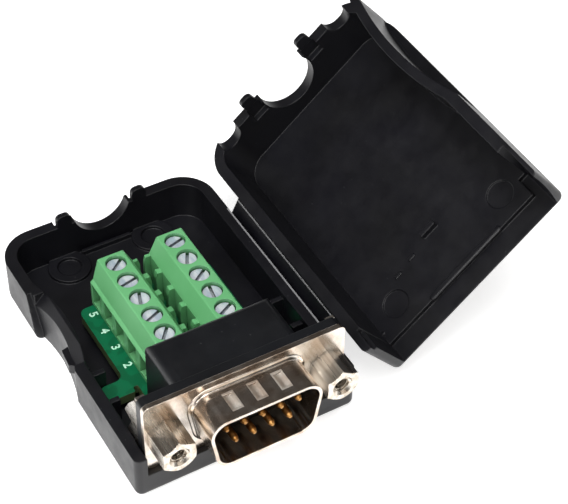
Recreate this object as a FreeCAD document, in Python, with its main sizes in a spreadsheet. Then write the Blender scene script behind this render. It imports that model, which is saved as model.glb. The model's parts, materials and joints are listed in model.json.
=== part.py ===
import FreeCAD, Part
import math
import os
import re

# D-sub plug on a small circuit board with two screw-terminal blocks, lying in a hinged clamshell case.
# Frame: Z up from the underside of the case, Y from the D-sub face towards the cable end,
# X across the case, origin in the middle of the underside. Millimetres.

doc = FreeCAD.newDocument("breakout")

SIZES = {
    # case
    "case_width": 34.4,
    "case_length": 47.6,
    "base_height": 7.7,
    "rim_gap": 0.05,
    "wall_side": 1.8,
    "skin": 1.2,
    "face_inset": 0.8,
    "hood_gap": 0.1,
    "tail_gap": 0.3,
    "corner_rear": 5.5,
    "corner_front": 1.0,
    "edge_round": 1.2,
    "sill_depth": 2.9,
    "slot_gap": 0.1,
    "slot_depth": 3.7,
    "notch_radius": 4.7,
    "notch_height": 9.1,
    "vent_radius": 2.0,
    "vent_offset": 12.2,
    "nub_inner": 5.1,
    "nub_width": 2.3,
    "nub_rise": 2.0,
    "nub_thick": 0.85,
    "nub_gap": 0.2,
    "scoop_depth": 1.75,
    "scoop_wall": 1.5,
    "scoop_half": 13.5,
    "scoop_centre": 32.0,
    "scoop_rise": 7.0,
    "recess_half": 9.4,
    "recess_centre": 27.5,
    "recess_rear": 32.5,
    "recess_lean": 2.2,
    "band_front": 19.0,
    "band_rear": 34.0,
    "band_wide": 1.4,
    "band_drop": 1.6,
    "band_rim": 0.55,
    "latch_front": 18.8,
    "latch_edge": 20.9,
    "latch_rear": 24.4,
    "latch_out": 0.2,
    "latch_top": 1.8,
    "latch_low": 3.4,
    "ring_offset": 7.1,
    "ring_inset": 4.3,
    "ring_outer": 3.3,
    "ring_inner": 1.85,
    "ring_rise": 0.5,
    "rib_thick": 0.8,
    "rib_drop": 0.9,
    "rib_gap": 0.1,
    "rib_reach": 2.1,
    "mark_offset": 10.9,
    "mark_front": 7.0,
    "mark_radius": 2.15,
    "mark_depth": 0.25,
    "swing_gap": 0.27,
    "swing_length": 7.2,
    "step_width": 0.45,
    "step_height": 1.05,
    # hinge strip
    "lip_out": 0.5,
    "strip_width": 2.7,
    "strip_thick": 0.6,
    "strip_front": 6.0,
    "strip_length": 30.5,
    "film_gap": 0.05,
    "lip_height": 0.6,
    # connector
    "flange_width": 30.81,
    "flange_height": 12.55,
    "flange_thick": 0.8,
    "shroud_depth": 5.8,
    "shroud_top": 17.9,
    "shroud_high": 9.2,
    "shroud_wall": 0.45,
    "shroud_corner": 2.6,
    "shroud_slope": 10.0,
    "dimple_pitch": 3.83,
    "dimple_radius": 1.0,
    "dimple_sink": 0.3,
    "dimple_length": 2.6,
    "plastic_width": 30.5,
    "plastic_height": 12.2,
    "plastic_thick": 1.6,
    "insert_face": 0.3,
    "insert_gap": 0.05,
    "hood_half": 9.6,
    "hood_top": 5.5,
    "hood_rear": 11.0,
    "hood_wall": 1.2,
    "hood_round": 1.5,
    "pin_pitch": 2.77,
    "pin_row": 1.42,
    "pin_radius": 0.5,
    "pin_tip": 4.8,
    "tail_square": 0.6,
    "bend_high": 8.3,
    "bend_low": 5.76,
    "tail_below": 0.9,
    "bore_gap": 0.04,
    "lock_offset": 12.495,
    "lock_length": 4.7,
    "lock_flats": 4.75,
    "lock_bore": 1.2,
    "stud_radius": 1.4,
    "stud_gap": 0.06,
    "bracket_thick": 0.5,
    "collar_radius": 2.3,
    "collar_length": 2.6,
    # circuit board
    "board_top": -6.6,
    "board_thick": 1.6,
    "board_front": 3.0,
    "board_rear": 31.4,
    "board_half": 10.7,
    "tongue_half": 9.5,
    "wing_half": 14.5,
    "wing_front": 13.5,
    "wing_rear": 16.45,
    "hole_gap": 0.1,
    # terminal blocks
    "pole_pitch": 3.81,
    "first_pole": 29.96,
    "block_front": 12.85,
    "block_rear": 31.9,
    "screw_x": 4.77,
    "block_high": 8.35,
    "well_radius": 1.55,
    "head_radius": 1.4,
    "head_low": 6.77,
    "head_thick": 1.0,
    "slot_wide": 0.5,
    "slot_deep": 0.55,
    "shank_radius": 1.0,
    "shank_low": 3.75,
    "shank_gap": 0.05,
    "chamber_half": 1.42,
    "chamber_outer": 6.97,
    "chamber_inner": 2.12,
    "chamber_low": 0.6,
    "chamber_high": 6.5,
    "entry_half": 1.3,
    "entry_low": 0.65,
    "entry_high": 4.25,
    "cage_half": 1.35,
    "cage_wall": 0.35,
    "cage_outer": 6.87,
    "cage_inner": 2.67,
    "cage_low": 0.75,
    "cage_high": 5.15,
    "cage_foot": 0.6,
    "cage_head": 0.8,
    "bar_half": 0.9,
    "bar_low": 3.2,
    "bar_high": 3.7,
    "leg_outer": 2.6,
    "leg_inner": 2.2,
    "fin_half": 0.48,
}

sheet = doc.addObject("Spreadsheet::Sheet", "sizes")
for row, (alias, number) in enumerate(SIZES.items(), 1):
    sheet.set("A%d" % row, alias)
    sheet.set("B%d" % row, str(number))
    sheet.setAlias("B%d" % row, alias)

# sizes that follow from the others, in the order in which they build on each other
FOLLOWING = {
    "inner_corner": "corner_rear - wall_side",
    "face_y": "-case_length / 2 + face_inset",
    "axis_z": "skin + tail_gap + tail_below + board_thick - board_top",
    "cover_height": "axis_z + hood_top + hood_gap + skin - base_height",
    "slot_half": "flange_width / 2 + slot_gap",
    "slot_low": "axis_z - flange_height / 2 - slot_gap",
    "slot_high": "axis_z + flange_height / 2 + slot_gap",
    "dimple_y": "face_y - shroud_depth / 2",
    "ring_y": "case_length / 2 - ring_inset",
    "rib_behind": "face_y + wing_rear + rib_gap",
    "rib_before": "face_y + hood_rear",
    "rib_top": "base_height - rib_drop",
    "mark_y": "face_y + mark_front",
    "strip_y": "face_y + strip_front",
    "film_out": "case_width / 2 + lip_out",
    "swing_radius": "sqrt((film_out + flange_width / 2)^2"
                    " + (axis_z + flange_height / 2 - base_height - strip_width / 2)^2) + swing_gap",
}
for row, (alias, formula) in enumerate(FOLLOWING.items(), len(SIZES) + 1):
    sheet.set("A%d" % row, alias)
    sheet.set("B%d" % row, "=" + formula)
    sheet.setAlias("B%d" % row, alias)
doc.recompute()


def size(alias):
    return float(sheet.get(alias))


WORD = re.compile(r"[a-z_]+")


def bound(text):
    def named(match):
        word = match.group(0)
        return "sizes." + word if word in SIZES or word in FOLLOWING else word

    return WORD.sub(named, str(text))


def place(obj, x, y, z):
    obj.setExpression("Placement.Base.x", bound(x))
    obj.setExpression("Placement.Base.y", bound(y))
    obj.setExpression("Placement.Base.z", bound(z))
    return obj


def box(name, x, y, z, dx, dy, dz):
    obj = doc.addObject("Part::Box", name)
    obj.setExpression("Length", bound(dx))
    obj.setExpression("Width", bound(dy))
    obj.setExpression("Height", bound(dz))
    return place(obj, x, y, z)


def side_box(name, side, near, far, y, z, dy, dz):
    """Box between two distances from the middle plane, on the left (-1) or the right (1)."""
    low = "-(%s)" % far if side < 0 else near
    return box(name, low, y, z, "(%s) - (%s)" % (far, near), dy, dz)


TURN = {
    "X": FreeCAD.Rotation(FreeCAD.Vector(0, 1, 0), 90),
    "Y": FreeCAD.Rotation(FreeCAD.Vector(1, 0, 0), -90),
    "Z": FreeCAD.Rotation(),
}


def rod(name, axis, x, y, z, radius, length):
    obj = doc.addObject("Part::Cylinder", name)
    obj.setExpression("Radius", bound(radius))
    obj.setExpression("Height", bound(length))
    obj.Placement = FreeCAD.Placement(FreeCAD.Vector(), TURN[axis])
    return place(obj, x, y, z)


def fuse(name, shapes):
    obj = doc.addObject("Part::MultiFuse", name)
    obj.Shapes = shapes
    return obj


def cut(name, base, tools):
    obj = doc.addObject("Part::Cut", name)
    obj.Base = base
    obj.Tool = tools[0] if len(tools) == 1 else fuse(name + "_tools", tools)
    return obj


def common(name, first, second):
    obj = doc.addObject("Part::Common", name)
    obj.Base = first
    obj.Tool = second
    return obj


def rounded(name, base, radius, wanted):
    """Fillet of the edges that the test picks out."""
    doc.recompute()
    obj = doc.addObject("Part::Fillet", name)
    obj.Base = base
    picked = [i + 1 for i, edge in enumerate(base.Shape.Edges) if wanted(edge)]
    obj.Edges = [(i, size(radius), size(radius)) for i in picked]
    return obj


def parallel(edge, axis):
    box_ = edge.BoundBox
    spans = {"X": box_.XLength, "Y": box_.YLength, "Z": box_.ZLength}
    own = spans.pop(axis)
    return own > 0.01 and max(spans.values()) < 0.01


def plane(body, role):
    return [f for f in body.Origin.OriginFeatures if f.Role == role][0]


def outline(points):
    """Closed outline with each corner (x, y, radius) rounded where its radius is more than nought."""
    count = len(points)
    starts = []
    arcs = []
    for i in range(count):
        x, y, r = points[i]
        here = FreeCAD.Vector(x, y, 0)
        before = FreeCAD.Vector(points[i - 1][0], points[i - 1][1], 0) - here
        after = FreeCAD.Vector(points[(i + 1) % count][0], points[(i + 1) % count][1], 0) - here
        before.normalize()
        after.normalize()
        if r <= 0:
            starts.append((here, here))
            arcs.append(None)
            continue
        half = before.getAngle(after) / 2
        back = r / math.tan(half)
        enter = here + before * back
        leave = here + after * back
        middle = (before + after).normalize()
        centre = here + middle * (r / math.sin(half))
        top = centre - middle * r
        starts.append((enter, leave))
        arcs.append(Part.Arc(enter, top, leave))
    lines = []
    for i in range(count):
        first = starts[i][1]
        last = starts[(i + 1) % count][0]
        if arcs[i]:
            lines.append(arcs[i])
        if (last - first).Length > 1e-6:
            lines.append(Part.LineSegment(first, last))
    return lines


# offset of a sketch along its plane's normal, and the sense in which that normal runs
SENSE = {"XY_Plane": 1, "XZ_Plane": -1, "YZ_Plane": 1}


def prism(name, role, points, start, length):
    """Body padded from an outline that stands on an origin plane at the given distance."""
    body = doc.addObject("PartDesign::Body", name)
    sketch = body.newObject("Sketcher::SketchObject", name + "_sketch")
    sketch.AttachmentSupport = [(plane(body, role), "")]
    sketch.MapMode = "FlatFace"
    sketch.addGeometry(outline(points), False)
    sign = "" if SENSE[role] > 0 else "-"
    sketch.setExpression("AttachmentOffset.Base.z", bound("%s(%s)" % (sign, start)))
    pad = body.newObject("PartDesign::Pad", name + "_pad")
    pad.Profile = sketch
    pad.setExpression("Length", bound(length))
    pad.Reversed = SENSE[role] < 0
    sketch.Visibility = False
    doc.recompute()
    return body


def soften(body, name, radius, wanted):
    """Fillet inside a body, on the edges of its tip that the test picks out."""
    tip = body.Tip
    fillet = body.newObject("PartDesign::Fillet", name)
    picked = ["Edge%d" % (i + 1) for i, edge in enumerate(tip.Shape.Edges) if wanted(edge)]
    fillet.Base = (tip, picked)
    fillet.setExpression("Radius", bound(radius))
    doc.recompute()
    return fillet


nodes = []


def finish(name, obj, placement=None):
    """Name the finished sub-part; a placement turns it from its closed to its stored position."""
    obj.Label = name
    if placement is not None:
        obj.Placement = placement.multiply(obj.Placement)
    nodes.append((name, obj))


# Case halves. The cover is drawn closed and turned open at the end.
half_w = size("case_width") / 2
half_l = size("case_length") / 2
rear_r = size("corner_rear")
front_r = size("corner_front")
plan = [
    (-half_w, -half_l, front_r),
    (half_w, -half_l, front_r),
    (half_w, half_l, rear_r),
    (-half_w, half_l, rear_r),
]


def half_case(name, start, height, outer_z):
    body = prism(name + "_block", "XY_Plane", plan, start, height)
    soften(body, name + "_edge", "edge_round", lambda e: abs(e.BoundBox.ZMin - outer_z) < 0.01
           and abs(e.BoundBox.ZMax - outer_z) < 0.01)
    return body


def cavity(name, z, height):
    """Inner space between the side walls, open towards the D-sub, with rounded rear corners."""
    block = box(name + "_block", "-(case_width / 2 - wall_side)", "-case_length / 2 + sill_depth", z,
                "case_width - 2 * wall_side", "case_length - sill_depth - wall_side", height)
    return rounded(name, block, "inner_corner", lambda e: parallel(e, "Z") and e.BoundBox.YMin > 0)



def scoop(name, kind, z, height, extra="0"):
    """Upright drum that hollows the wall opposite the hinge; kind is scoop on the cover, recess on the base."""
    radius = "(({0}_half * {0}_half + scoop_depth * scoop_depth) / (2 * scoop_depth))".format(kind)
    return rod(name, "Z", "-case_width / 2 + scoop_depth - " + radius, "face_y + %s_centre" % kind, z,
               radius + " + " + extra, height)


def scoop_back(name, kind, z, height):
    """Wall that follows the hollow on the inside."""
    bulge = scoop(name + "_bulge", kind, z, height, "scoop_wall")
    room = box(name + "_room", "-case_width / 2 + 0.4", "face_y + wing_rear", z, "8",
               "case_length - face_inset - wing_rear - wall_side / 2", height)
    return common(name, bulge, room)


# Base tray
base_block = half_case("base", "0", "base_height", 0.0)
base_cavity = cavity("base_cavity", "skin", "base_height")
base_hollow = cut("base_hollow", base_block, [base_cavity])
base_adds = [base_hollow]
base_adds.append(scoop_back("base_scoop_back", "recess", "skin - 0.1", "base_height - skin + 0.1"))
for side, tag in ((-1, "left"), (1, "right")):
    outer = rod("ring_outer_" + tag, "Z", "%d * ring_offset" % side, "ring_y", "skin - 0.1", "ring_outer",
                "ring_rise + 0.1")
    inner = rod("ring_inner_" + tag, "Z", "%d * ring_offset" % side, "ring_y", "skin", "ring_inner", "ring_rise")
    base_adds.append(cut("ring_" + tag, outer, [inner]))
    wall_in = "case_width / 2 - wall_side"
    for place_name, reach in (("rib_behind", "rib_reach"), ("rib_before", "rib_reach - 0.4")):
        base_adds.append(side_box(place_name + "_" + tag, side, wall_in + " - (%s)" % reach, wall_in + " + 0.2",
                                  place_name, "skin - 0.1", "rib_thick", "rib_top - skin + 0.1"))
    base_adds.append(side_box("wing_rest_" + tag, side, wall_in + " - 2.4", wall_in + " + 0.2",
                              "face_y + wing_front + 0.3", "skin - 0.1", "wing_rear - wing_front - 0.5",
                              "axis_z + board_top - board_thick - skin + 0.1"))
    base_adds.append(side_box("rear_rest_" + tag, side, "board_half - 2.2", "board_half - 0.3",
                              "face_y + board_rear - 2.6", "skin - 0.1", "1.6",
                              "axis_z + board_top - board_thick - skin + 0.1"))
    nub = side_box("base_nub_block_" + tag, side, "nub_inner", "nub_inner + nub_width",
                   "case_length / 2 - wall_side", "base_height - 1", "nub_thick", "nub_rise + 1")
    base_adds.append(rounded("base_nub_" + tag, nub, "nub_thick", lambda e: parallel(e, "Y")
                             and e.BoundBox.ZMin > size("base_height")))
base_adds.append(box("foot_rib", "-4.1", "case_length / 2 - wall_side - 1", "skin - 0.1", "8.2", "0.6", "0.9"))
base_adds.append(box("base_lip", "case_width / 2 - 0.3", "strip_y", "base_height - strip_width / 2 - lip_height",
                     "lip_out + 0.3", "strip_length", "lip_height"))
base_full = fuse("base_full", base_adds)
# the recess ends at the rear in a face that leans back towards the rim
rim_z = size("base_height")
face = size("face_y")
lean_each = size("recess_lean") / size("base_height")
recess_room = prism("recess_room", "YZ_Plane", [
    (face + size("wing_rear"), -2, 0),
    (face + size("recess_rear") - 2 * lean_each, -2, 0),
    (face + size("recess_rear") + (rim_z + 2) * lean_each, rim_z + 2, 0),
    (face + size("wing_rear"), rim_z + 2, 0),
], "-case_width / 2 - 1", "6")
base_cuts = [
    box("base_front_slot", "-slot_half", "-case_length / 2 - 1", "slot_low", "2 * slot_half", "slot_depth + 1",
        "base_height"),
    rod("base_notch", "Y", "0", "case_length / 2 - wall_side - 2", "notch_height", "notch_radius", "6"),
    common("base_scoop", scoop("base_scoop_drum", "recess", "-1", "base_height + 2"), recess_room),
]
for side, tag in ((-1, "left"), (1, "right")):
    base_cuts.append(side_box("base_relief_" + tag, side, "nub_inner - nub_gap", "nub_inner + nub_width + nub_gap",
                              "case_length / 2 - nub_thick - 0.1", "base_height - nub_rise - nub_gap", "2",
                              "nub_rise + nub_gap + 0.2"))
base_open = cut("base_open", base_full, base_cuts)
# sloped band along the rim of the recess, and the wedge that holds the cover shut
crest = -half_w + size("scoop_depth") + size("scoop_wall") - size("band_rim")
band_slope = size("band_drop") / size("band_wide")
band = prism("rim_band", "XZ_Plane", [
    (crest + 1 / band_slope, rim_z + 1, 0),
    (-half_w - 1, rim_z + 1, 0),
    (-half_w - 1, rim_z - (crest + half_w + 1) * band_slope, 0),
], "face_y + band_front", "band_rear - band_front")
base_banded = cut("base_banded", base_open, [band])
latch_in = -half_w + size("scoop_depth") + size("scoop_wall") / 2
latch = prism("latch_wedge", "XY_Plane", [
    (latch_in, face + size("latch_front"), 0),
    (latch_in, face + size("latch_rear"), 0),
    (-half_w + size("latch_out") + 0.3, face + size("latch_rear") - 0.5, 0.2),
    (-half_w + size("latch_out"), face + size("latch_edge"), 0.2),
], "base_height - latch_low", "latch_low - latch_top")
finish("base_shell", fuse("base_shell_solid", [base_banded, latch]))

# Cover, closed
top_z = size("base_height") + size("cover_height")
cover_block = half_case("cover", "base_height + rim_gap", "cover_height - rim_gap", top_z)
cover_cavity = cavity("cover_cavity", "0", "base_height + cover_height - skin")
cover_hollow = cut("cover_hollow", cover_block, [cover_cavity])
cover_adds = [cover_hollow]
cover_adds.append(scoop_back("cover_scoop_back", "scoop", "base_height + rim_gap", "cover_height - skin - rim_gap + 0.1"))
cover_adds.append(box("stop_block", "-1.3", "face_y + hood_rear + 0.15", "base_height + cover_height - skin - 1",
                      "2.7", "0.8", "1.1"))
for side, tag in ((-1, "left"), (1, "right")):
    nub = side_box("cover_nub_block_" + tag, side, "nub_inner", "nub_inner + nub_width",
                   "case_length / 2 - nub_thick", "base_height - nub_rise", "nub_thick", "nub_rise + 1")
    cover_adds.append(rounded("cover_nub_" + tag, nub, "nub_thick", lambda e: parallel(e, "Y")
                              and e.BoundBox.ZMax < size("base_height")))
film_x = size("film_out")
film_low = rim_z - size("strip_width") / 2
film_high = rim_z + size("strip_width") / 2
cover_adds.append(prism("cover_lip", "XZ_Plane", [
    (film_x, film_high, 0),
    (half_w, film_high + size("lip_out") * 1.73, 0),
    (half_w - 0.3, film_high + size("lip_out") * 1.73, 0),
    (half_w - 0.3, film_high, 0),
], "strip_y", "strip_length"))
cover_full = fuse("cover_full", cover_adds)
cover_cuts = [
    box("cover_front_slot", "-slot_half", "-case_length / 2 - 1", "0", "2 * slot_half", "slot_depth + 1",
        "slot_high"),
    rod("cover_notch", "Y", "0", "case_length / 2 - wall_side - 2", "notch_height", "notch_radius", "6"),
    scoop("cover_scoop", "scoop", "0", "base_height + scoop_rise"),
]
swing_disc = rod("swing_disc", "Y", "film_out", "-case_length / 2 - 1", "base_height + strip_width / 2",
                 "swing_radius", "swing_length + 1")
swing_room = box("swing_room", "-case_width / 2 - 1", "-case_length / 2 - 1", "0", "4", "swing_length + 1", "slot_high")
cover_cuts.append(common("cover_swing_relief", swing_disc, swing_room))
cover_cuts.append(box("cover_rim_step", "slot_half - 0.1", "-case_length / 2 - 1", "0", "step_width + 0.1",
                      "slot_depth + 1", "base_height + step_height"))
for side, tag in ((-1, "left"), (1, "right")):
    cover_cuts.append(side_box("cover_relief_" + tag, side, "nub_inner - nub_gap",
                               "nub_inner + nub_width + nub_gap", "case_length / 2 - wall_side - 0.2",
                               "base_height", "wall_side - nub_thick + 0.3", "nub_rise + nub_gap"))
    cover_cuts.append(rod("cover_vent_" + tag, "Y", "%d * vent_offset" % side, "case_length / 2 - 5", "base_height",
                          "vent_radius", "6"))
    cover_cuts.append(rod("cover_mark_" + tag, "Z", "%d * mark_offset" % side, "mark_y",
                          "base_height + cover_height - skin - 0.1", "mark_radius", "mark_depth + 0.1"))
cover_solid = cut("cover_solid", cover_full, cover_cuts)

# Stored open position: the strip leans out about the lower film, and the cover turns about the upper one.
STRIP_OPEN = 25.0
COVER_OPEN = 114.5


def turned(x, z, angle):
    centre = FreeCAD.Vector(x, 0, z)
    return FreeCAD.Placement(FreeCAD.Vector(), FreeCAD.Rotation(FreeCAD.Vector(0, 1, 0), angle), centre)


lean = turned(film_x, film_low, STRIP_OPEN)
swing = turned(film_x, film_high, COVER_OPEN)
finish("cover_shell", cover_solid, lean.multiply(swing))

gap = size("film_gap")
thick = size("strip_thick")
strip = prism("hinge_strip_body", "XZ_Plane", [
    (film_x + gap, film_low + gap, 0),
    (film_x + gap + thick, film_low + gap, 0.15),
    (film_x + gap + thick, film_high - gap - thick, 0.15),
    (film_x + gap, film_high - gap, 0),
], "strip_y", "strip_length")
finish("hinge_strip", strip, lean)

# D-sub plug. Sizes of the D outline are given outside the shroud.
axis_z = size("axis_z")


def d_outline(shrink, corner):
    slope = math.radians(size("shroud_slope"))
    half_t = size("shroud_top") / 2
    high = size("shroud_high")
    lean_in = high * math.tan(slope)
    side_shrink = shrink / math.cos(slope)
    top = axis_z + high / 2 - shrink
    low = axis_z - high / 2 + shrink
    at_top = half_t - side_shrink - shrink * math.tan(slope)
    at_low = half_t - lean_in - side_shrink + shrink * math.tan(slope)
    return [(-at_low, low, corner), (at_low, low, corner), (at_top, top, corner), (-at_top, top, corner)]


corner = size("shroud_corner")
wall = size("shroud_wall")
shroud_outer = prism("shroud_outer", "XZ_Plane", d_outline(0, corner), "face_y - shroud_depth",
                     "shroud_depth + flange_thick")
shroud_inner = prism("shroud_inner", "XZ_Plane", d_outline(wall, corner - wall), "face_y - shroud_depth - 1",
                     "shroud_depth + flange_thick + 2")
shroud_fill = prism("shroud_fill", "XZ_Plane", d_outline(0, corner), "face_y - shroud_depth + 0.3",
                    "shroud_depth - 0.3")
flange = box("flange_plate", "-flange_width / 2", "face_y", "axis_z - flange_height / 2", "flange_width",
             "flange_thick", "flange_height")
flange_soft = rounded("flange_soft", flange, "corner_front", lambda e: parallel(e, "Y"))
lock_holes = []
for side, tag in ((-1, "left"), (1, "right")):
    lock_holes.append(rod("lock_hole_" + tag, "Y", "%d * lock_offset" % side, "face_y - 1", "axis_z",
                          "stud_radius + stud_gap", "flange_thick + plastic_thick + 3"))
dimple_axis = "axis_z + shroud_high / 2 + dimple_radius - dimple_sink"
bumps = []
dents = []
for step in (-1, 0, 1):
    label = "%d" % (step + 1)
    bump = rod("bump_" + label, "Y", "%d * dimple_pitch" % step, "dimple_y - dimple_length / 2 - 0.35", dimple_axis,
               "dimple_radius + shroud_wall", "dimple_length + 0.7")
    bumps.append(bump)
    dents.append(rod("dent_" + label, "Y", "%d * dimple_pitch" % step, "dimple_y - dimple_length / 2", dimple_axis,
                     "dimple_radius", "dimple_length"))
shroud_tube = cut("shroud_tube", shroud_outer, [shroud_inner])
bump_part = common("bump_part", fuse("bumps", bumps), shroud_fill)
shell_full = fuse("shell_full", [flange_soft, shroud_tube, bump_part])
opening = prism("shroud_opening", "XZ_Plane", d_outline(wall, corner - wall), "face_y - 0.01", "flange_thick + 1")
shell_solid = cut("shell_solid", shell_full, [opening] + lock_holes + dents)
finish("dsub_front_shell", shell_solid)

# Insulator: insert in the shroud, flange-wide plate, and a hollow hood over the bent tails
gap_in = size("insert_gap")
insert = prism("insert", "XZ_Plane", d_outline(wall + gap_in, corner - wall - gap_in), "face_y - insert_face",
               "insert_face + flange_thick + 0.2")
plastic = box("plastic_plate", "-plastic_width / 2", "face_y + flange_thick", "axis_z - plastic_height / 2",
              "plastic_width", "plastic_thick", "plastic_height")
plastic_soft = rounded("plastic_soft", plastic, "corner_front", lambda e: parallel(e, "Y"))
plate_rear = "face_y + flange_thick + plastic_thick"
hood_low = "axis_z + board_top"
hood = box("hood_block", "-hood_half", plate_rear + " - 0.2", hood_low, "2 * hood_half",
           "hood_rear - flange_thick - plastic_thick + 0.2", "hood_top - board_top")
hood_soft = rounded("hood_soft", hood, "hood_round", lambda e: e.BoundBox.ZMax > axis_z + size("hood_top") - 0.1
                    and e.BoundBox.ZMin > axis_z + size("hood_top") - 0.1 and e.BoundBox.YMax > face + 3)
hood_room = box("hood_room", "-(hood_half - hood_wall)", plate_rear + " + hood_wall", hood_low + " - 1",
                "2 * (hood_half - hood_wall)",
                "hood_rear - flange_thick - plastic_thick - 2 * hood_wall", "hood_top - board_top - hood_wall + 1")
pins = []
bores = []
tail_half = size("tail_square") / 2
tail_end = axis_z + size("board_top") - size("board_thick") - size("tail_below")
rows = [(2 * k, 1) for k in range(-2, 3)] + [(2 * k + 1, -1) for k in range(-2, 2)]
board_low = "(axis_z + board_top - board_thick)"
for index, (step, level) in enumerate(rows, 1):
    tag = "%d" % index
    pin_x = "%d * pin_pitch / 2" % step
    pin_z = "axis_z + %d * pin_row" % level
    bend = "bend_high" if level > 0 else "bend_low"
    shaft = rod("pin_shaft_" + tag, "Y", pin_x, "face_y - pin_tip + pin_radius", pin_z, "pin_radius",
                "pin_tip - pin_radius + flange_thick + plastic_thick")
    nose = doc.addObject("Part::Cone", "pin_nose_" + tag)
    nose.setExpression("Radius1", bound("pin_radius / 2"))
    nose.setExpression("Radius2", bound("pin_radius"))
    nose.setExpression("Height", bound("pin_radius"))
    nose.Placement = FreeCAD.Placement(FreeCAD.Vector(), TURN["Y"])
    place(nose, pin_x, "face_y - pin_tip", pin_z)
    # the stamped tail is square and bent down once, through the board
    high = axis_z + level * size("pin_row")
    drop_y = face + size("bend_high" if level > 0 else "bend_low")
    tail = prism("pin_tail_" + tag, "YZ_Plane", [
        (face + tail_half, high - tail_half, 0),
        (drop_y - tail_half, high - tail_half, 0),
        (drop_y - tail_half, tail_end, 0),
        (drop_y + tail_half, tail_end, 0),
        (drop_y + tail_half, high + tail_half, 2 * tail_half),
        (face + tail_half, high + tail_half, 0),
    ], "%s - tail_square / 2" % pin_x, "tail_square")
    pins.append(fuse("pin_" + tag, [shaft, nose, tail]))
    bores.append(rod("pin_bore_" + tag, "Y", pin_x, "face_y - 1", pin_z, "pin_radius + bore_gap",
                     "flange_thick + plastic_thick + hood_wall + 2"))
insulator_full = fuse("insulator_full", [insert, plastic_soft, hood_soft])
insulator = cut("insulator_solid", insulator_full, [hood_room] + bores + [
    rod("plate_hole_" + tag, "Y", "%d * lock_offset" % side, "face_y + flange_thick - 1", "axis_z",
        "stud_radius + stud_gap", "plastic_thick + 2") for side, tag in ((-1, "left"), (1, "right"))])
finish("connector_insulator", insulator)
pin_set = doc.addObject("Part::Compound", "pin_set")
pin_set.Links = pins
finish("contact_pins", pin_set)

# Rear brackets with a toothed side plate, a top tab and a threaded collar
plate_y = face + size("flange_thick") + size("plastic_thick")
for side, tag in ((-1, "left"), (1, "right")):
    edge_x = size("flange_width") / 2 - 0.2
    side_start = "%s" % ("-(flange_width / 2 - 0.2)" if side < 0 else "flange_width / 2 - 0.2 - bracket_thick")
    side_plate = prism("bracket_side_" + tag, "YZ_Plane", [
        (plate_y, axis_z - 5.2, 0),
        (plate_y + 1.7, axis_z - 5.2, 0.3),
        (plate_y + 1.7, axis_z - 4.2, 0),
        (plate_y + 3.5, axis_z - 3.8, 0.2),
        (plate_y + 1.9, axis_z - 0.4, 0.2),
        (plate_y + 3.9, axis_z + 0.1, 0.2),
        (plate_y + 2.4, axis_z + 2.8, 0.2),
        (plate_y + 0.6, axis_z + 5.2, 0.2),
        (plate_y, axis_z + 5.2, 0),
    ], side_start, "bracket_thick")
    rear_plate = side_box("bracket_plate_" + tag, side, "hood_half + 0.3", "flange_width / 2 - 0.2",
                          plate_rear, "axis_z - 5.2", "bracket_thick", "10.4")
    tab = side_box("bracket_tab_" + tag, side, "flange_width / 2 - 1.6", "flange_width / 2 - 0.3",
                   plate_rear, "axis_z + 4.6", "bracket_thick", "1.2")
    collar = rod("bracket_collar_" + tag, "Y", "%d * lock_offset" % side, plate_rear, "axis_z", "collar_radius",
                 "collar_length")
    bore = rod("bracket_bore_" + tag, "Y", "%d * lock_offset" % side, plate_rear + " - 1", "axis_z",
               "stud_radius + 0.02", "collar_length + 2")
    bracket = fuse("bracket_full_" + tag, [side_plate, rear_plate, tab, collar])
    finish(tag + "_bracket", cut("bracket_solid_" + tag, bracket, [bore]))

# Screwlocks: a hexagon in front of the flange, tapped, with a stud through to the bracket
across = size("lock_flats") / 2 / math.cos(math.radians(30))
for side, tag in ((-1, "left"), (1, "right")):
    hexagon = [(side * size("lock_offset") + across * math.sin(math.radians(60 * k)),
                axis_z + across * math.cos(math.radians(60 * k)), 0) for k in range(6)]
    nut = prism("lock_hex_" + tag, "XZ_Plane", hexagon, "face_y - lock_length", "lock_length")
    stud = rod("lock_stud_" + tag, "Y", "%d * lock_offset" % side, "face_y - 0.2", "axis_z", "stud_radius",
               "flange_thick + plastic_thick + collar_length + 0.4")
    tapped = rod("lock_bore_" + tag, "Y", "%d * lock_offset" % side, "face_y - lock_length - 1", "axis_z",
                 "lock_bore", "lock_length + 0.2")
    mouth = doc.addObject("Part::Cone", "lock_mouth_" + tag)
    mouth.setExpression("Radius1", bound("lock_bore + 0.45"))
    mouth.setExpression("Radius2", bound("lock_bore"))
    mouth.setExpression("Height", "0.45")
    mouth.Placement = FreeCAD.Placement(FreeCAD.Vector(), TURN["Y"])
    place(mouth, "%d * lock_offset" % side, "face_y - lock_length", "axis_z")
    chamfer = doc.addObject("Part::Cone", "lock_chamfer_" + tag)
    chamfer.setExpression("Radius1", bound("lock_flats / 2"))
    chamfer.setExpression("Radius2", bound("lock_flats / 2 + lock_length * 1.73"))
    chamfer.setExpression("Height", bound("lock_length"))
    chamfer.Placement = FreeCAD.Placement(FreeCAD.Vector(), TURN["Y"])
    place(chamfer, "%d * lock_offset" % side, "face_y - lock_length", "axis_z")
    trimmed = common("lock_trim_" + tag, nut, chamfer)
    lock = fuse("lock_full_" + tag, [trimmed, stud])
    finish(tag + "_screwlock", cut("lock_solid_" + tag, lock, [tapped, mouth]))

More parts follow.
